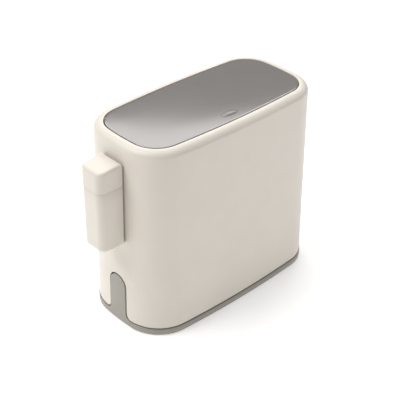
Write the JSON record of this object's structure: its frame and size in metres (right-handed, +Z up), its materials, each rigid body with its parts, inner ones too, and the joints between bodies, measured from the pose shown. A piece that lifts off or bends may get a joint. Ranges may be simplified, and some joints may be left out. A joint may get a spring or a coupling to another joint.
{
  "type": "dog waste bin",
  "caption": "Slim household dog waste bin: drafted shell on a tray base, flush hinged lid with push button, lift-out bucket, and a bag dispenser on one end.",
  "frame": {"origin": "centre of the body's footprint on the floor, level with the underside of the anti-slip foot ring", "axes": "+X along the length away from the bag dispenser, +Y towards the lid hinge, +Z up"},
  "size_m": [0.3739, 0.173, 0.3017],
  "materials": {
    "shell_white": "fine satin",
    "base_grey": "fine matte",
    "lid_grey": "satin gloss",
    "button_grey": "satin",
    "bucket_dark": "matte",
    "rubber_dark": "matte",
    "steel": "zinc plated",
    "bag_film": "thin film",
    "card": "grey card"
  },
  "bodies": {
    "base": {"base_tray": "base_grey", "foot_ring": "rubber_dark", "inner_bucket": "bucket_dark", "bag_ring": "base_grey"},
    "shell": {"outer_shell": "shell_white", "latch_strike": "steel", "strike_screws": "steel", "hanger_plate": "base_grey", "hanger_screws": "steel"},
    "lid": {"lid_panel": "lid_grey", "lid_liner": "shell_white", "lid_seal": "rubber_dark", "liner_screws": "steel", "hinge_pins": "steel", "hinge_springs": "steel", "latch_housing": "base_grey", "latch_screws": "steel", "latch_spring": "steel"},
    "button": {"push_button": "button_grey"},
    "bolt": {"latch_bolt": "bucket_dark"},
    "dispenser": {"dispenser_box": "shell_white", "outlet_grommet": "rubber_dark"},
    "cap": {"dispenser_cap": "shell_white"},
    "lower_roll": {"lower_bag_roll": "bag_film", "lower_roll_core": "card"},
    "upper_roll": {"upper_bag_roll": "bag_film", "upper_roll_core": "card"}
  },
  "joints": [
    {"name": "shell_lift", "type": "slide", "parent": "base", "child": "shell", "axis": [0, 0, 1], "range_m": [0, 0.28]},
    {"name": "lid_hinge", "type": "hinge", "parent": "shell", "child": "lid", "pos_m": [0, 0.054, 0.2982], "axis": [-1, 0, 0], "range_deg": [0, 75], "deforming": ["hinge_springs"]},
    {"name": "button_press", "type": "slide", "parent": "lid", "child": "button", "axis": [0, 0, -1], "range_m": [0, 0.0025], "stiffness_N_per_m": 400, "springref_m": -0.002},
    {"name": "latch_slide", "type": "slide", "parent": "lid", "child": "bolt", "axis": [0, 1, 0], "range_m": [0, 0.0025], "deforming": ["latch_spring"]},
    {"name": "dispenser_lift", "type": "slide", "parent": "shell", "child": "dispenser", "axis": [0.014, 0, 0.9999], "range_m": [0, 0.08]},
    {"name": "cap_lift", "type": "slide", "parent": "dispenser", "child": "cap", "axis": [0.014, 0, 0.9999], "range_m": [0, 0.045]},
    {"name": "lower_roll_spin", "type": "hinge", "parent": "dispenser", "child": "lower_roll", "pos_m": [-0.18656, 0, 0.21031], "axis": [0.014, 0, 0.9999], "continuous": true},
    {"name": "upper_roll_spin", "type": "hinge", "parent": "dispenser", "child": "upper_roll", "pos_m": [-0.18656, 0, 0.21031], "axis": [0.014, 0, 0.9999], "continuous": true}
  ],
  "couplings": [
    {"joint": "latch_slide", "follows": "button_press", "ratio": 1}
  ]
}
